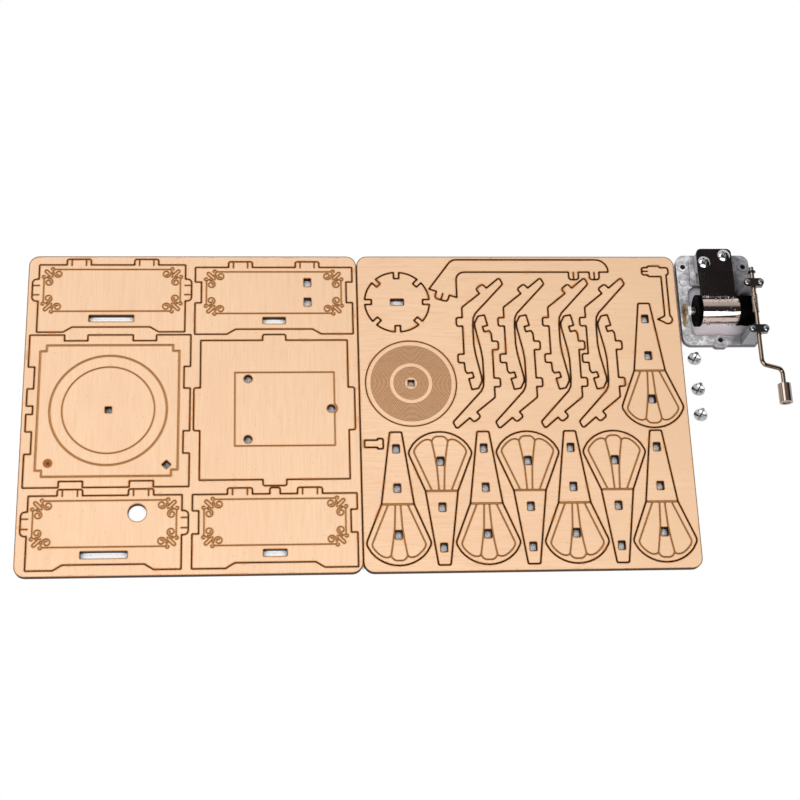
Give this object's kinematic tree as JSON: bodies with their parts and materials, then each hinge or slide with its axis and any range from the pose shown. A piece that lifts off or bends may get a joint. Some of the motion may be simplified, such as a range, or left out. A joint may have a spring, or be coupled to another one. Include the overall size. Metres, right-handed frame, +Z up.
{
  "type": "music box kit",
  "caption": "Flat-packed plywood kit for a hand-cranked music box shaped like a horn record player, with its comb and drum movement and loose screws.",
  "frame": {"origin": "middle of the layout's bounding box, on the surface that the kit lies on", "axes": "+X to the right along the row of sheets, +Y away from the viewer, +Z up"},
  "size_m": [0.3666, 0.1606, 0.0212],
  "materials": {
    "sheet_wood": "sanded birch plywood, laser-burnt edges",
    "panel_wood": "sanded birch plywood with engraved lines",
    "horn_wood": "sanded birch plywood with engraved lines",
    "zinc_casting": "smooth grey die casting",
    "bronze_plate": "dull bronze",
    "dark_steel": "blued spring steel",
    "bright_steel": "bright plated steel",
    "nickel_tube": "polished nickel",
    "black_plastic": "gloss black",
    "black_steel": "blackened steel",
    "crank_wire": "drawn wire, bright",
    "zinc_screw": "zinc plated"
  },
  "bodies": {
    "left_sheet": {"sheet_frame_left": "sheet_wood"},
    "plain_side_panel_body": {"plain_side_panel": "panel_wood"},
    "rear_panel_body": {"rear_panel": "panel_wood"},
    "top_plate_body": {"top_plate": "panel_wood"},
    "base_plate_body": {"base_plate": "panel_wood"},
    "crank_side_panel_body": {"crank_side_panel": "panel_wood"},
    "front_panel_body": {"front_panel": "panel_wood"},
    "right_sheet": {"sheet_frame_right": "sheet_wood"},
    "horn_hub_body": {"horn_hub": "horn_wood"},
    "record_disc_body": {"record_disc": "horn_wood"},
    "horn_arm_body": {"horn_arm": "horn_wood"},
    "tone_arm_body": {"tone_arm": "horn_wood"},
    "record_peg_body": {"record_peg": "horn_wood"},
    "rib_1_body": {"rib_1": "horn_wood"},
    "rib_2_body": {"rib_2": "horn_wood"},
    "rib_3_body": {"rib_3": "horn_wood"},
    "rib_4_body": {"rib_4": "horn_wood"},
    "rib_5_body": {"rib_5": "horn_wood"},
    "rib_6_body": {"rib_6": "horn_wood"},
    "rib_7_body": {"rib_7": "horn_wood"},
    "rib_8_body": {"rib_8": "horn_wood"},
    "petal_1_body": {"petal_1": "horn_wood"},
    "petal_2_body": {"petal_2": "horn_wood"},
    "petal_3_body": {"petal_3": "horn_wood"},
    "petal_4_body": {"petal_4": "horn_wood"},
    "petal_5_body": {"petal_5": "horn_wood"},
    "petal_6_body": {"petal_6": "horn_wood"},
    "petal_7_body": {"petal_7": "horn_wood"},
    "petal_8_body": {"petal_8": "horn_wood"},
    "movement": {"bedplate": "zinc_casting", "bearing_cap_plate": "bronze_plate", "bearing_bush": "bright_steel", "comb": "dark_steel", "comb_screws": "bright_steel", "shaft_clip_rear": "black_steel", "shaft_clip_front": "black_steel", "clip_rivets": "bright_steel"},
    "drum_assembly": {"drum": "nickel_tube", "drum_end_cap": "black_plastic", "worm_wheel": "black_plastic", "drum_arbor": "bright_steel"},
    "crank": {"crank_shaft": "crank_wire", "crank_worm": "crank_wire", "retaining_ring": "black_steel"},
    "knob": {"crank_knob": "nickel_tube"},
    "loose_screws": {"mounting_screws": "zinc_screw"}
  },
  "joints": [
    {"name": "crank_spin", "type": "hinge", "parent": "movement", "child": "crank", "pos_m": [0.16838, 0.04752, 0.0183], "axis": [0, 1, 0], "continuous": true},
    {"name": "drum_spin", "type": "hinge", "parent": "movement", "child": "drum_assembly", "pos_m": [0.15253, 0.04752, 0.0091], "axis": [1, 0, 0], "continuous": true},
    {"name": "knob_spin", "type": "hinge", "parent": "crank", "child": "knob", "pos_m": [0.18007, 0.00382, 0.01155], "axis": [0, 1, 0], "continuous": true},
    {"name": "movement_lift", "type": "slide", "parent": "left_sheet", "child": "movement", "axis": [0, 0, 1], "range_m": [0, 0.012]},
    {"name": "right_sheet_lift", "type": "slide", "parent": "left_sheet", "child": "right_sheet", "axis": [0, 0, 1], "range_m": [0, 0.012]},
    {"name": "screws_lift", "type": "slide", "parent": "left_sheet", "child": "loose_screws", "axis": [0, 0, 1], "range_m": [0, 0.012]},
    {"name": "plain_side_panel_lift", "type": "slide", "parent": "left_sheet", "child": "plain_side_panel_body", "axis": [0, 0, 1], "range_m": [0, 0.012]},
    {"name": "rear_panel_lift", "type": "slide", "parent": "left_sheet", "child": "rear_panel_body", "axis": [0, 0, 1], "range_m": [0, 0.012]},
    {"name": "top_plate_lift", "type": "slide", "parent": "left_sheet", "child": "top_plate_body", "axis": [0, 0, 1], "range_m": [0, 0.012]},
    {"name": "base_plate_lift", "type": "slide", "parent": "left_sheet", "child": "base_plate_body", "axis": [0, 0, 1], "range_m": [0, 0.012]},
    {"name": "crank_side_panel_lift", "type": "slide", "parent": "left_sheet", "child": "crank_side_panel_body", "axis": [0, 0, 1], "range_m": [0, 0.012]},
    {"name": "front_panel_lift", "type": "slide", "parent": "left_sheet", "child": "front_panel_body", "axis": [0, 0, 1], "range_m": [0, 0.012]},
    {"name": "horn_hub_lift", "type": "slide", "parent": "right_sheet", "child": "horn_hub_body", "axis": [0, 0, 1], "range_m": [0, 0.012]},
    {"name": "record_disc_lift", "type": "slide", "parent": "right_sheet", "child": "record_disc_body", "axis": [0, 0, 1], "range_m": [0, 0.012]},
    {"name": "horn_arm_lift", "type": "slide", "parent": "right_sheet", "child": "horn_arm_body", "axis": [0, 0, 1], "range_m": [0, 0.012]},
    {"name": "tone_arm_lift", "type": "slide", "parent": "right_sheet", "child": "tone_arm_body", "axis": [0, 0, 1], "range_m": [0, 0.012]},
    {"name": "record_peg_lift", "type": "slide", "parent": "right_sheet", "child": "record_peg_body", "axis": [0, 0, 1], "range_m": [0, 0.012]},
    {"name": "rib_1_lift", "type": "slide", "parent": "right_sheet", "child": "rib_1_body", "axis": [0, 0, 1], "range_m": [0, 0.012]},
    {"name": "rib_2_lift", "type": "slide", "parent": "right_sheet", "child": "rib_2_body", "axis": [0, 0, 1], "range_m": [0, 0.012]},
    {"name": "rib_3_lift", "type": "slide", "parent": "right_sheet", "child": "rib_3_body", "axis": [0, 0, 1], "range_m": [0, 0.012]},
    {"name": "rib_4_lift", "type": "slide", "parent": "right_sheet", "child": "rib_4_body", "axis": [0, 0, 1], "range_m": [0, 0.012]},
    {"name": "rib_5_lift", "type": "slide", "parent": "right_sheet", "child": "rib_5_body", "axis": [0, 0, 1], "range_m": [0, 0.012]},
    {"name": "rib_6_lift", "type": "slide", "parent": "right_sheet", "child": "rib_6_body", "axis": [0, 0, 1], "range_m": [0, 0.012]},
    {"name": "rib_7_lift", "type": "slide", "parent": "right_sheet", "child": "rib_7_body", "axis": [0, 0, 1], "range_m": [0, 0.012]},
    {"name": "rib_8_lift", "type": "slide", "parent": "right_sheet", "child": "rib_8_body", "axis": [0, 0, 1], "range_m": [0, 0.012]},
    {"name": "petal_1_lift", "type": "slide", "parent": "right_sheet", "child": "petal_1_body", "axis": [0, 0, 1], "range_m": [0, 0.012]},
    {"name": "petal_2_lift", "type": "slide", "parent": "right_sheet", "child": "petal_2_body", "axis": [0, 0, 1], "range_m": [0, 0.012]},
    {"name": "petal_3_lift", "type": "slide", "parent": "right_sheet", "child": "petal_3_body", "axis": [0, 0, 1], "range_m": [0, 0.012]},
    {"name": "petal_4_lift", "type": "slide", "parent": "right_sheet", "child": "petal_4_body", "axis": [0, 0, 1], "range_m": [0, 0.012]},
    {"name": "petal_5_lift", "type": "slide", "parent": "right_sheet", "child": "petal_5_body", "axis": [0, 0, 1], "range_m": [0, 0.012]},
    {"name": "petal_6_lift", "type": "slide", "parent": "right_sheet", "child": "petal_6_body", "axis": [0, 0, 1], "range_m": [0, 0.012]},
    {"name": "petal_7_lift", "type": "slide", "parent": "right_sheet", "child": "petal_7_body", "axis": [0, 0, 1], "range_m": [0, 0.012]},
    {"name": "petal_8_lift", "type": "slide", "parent": "right_sheet", "child": "petal_8_body", "axis": [0, 0, 1], "range_m": [0, 0.012]}
  ],
  "couplings": [
    {"joint": "drum_spin", "follows": "crank_spin", "ratio": 0.066667}
  ]
}
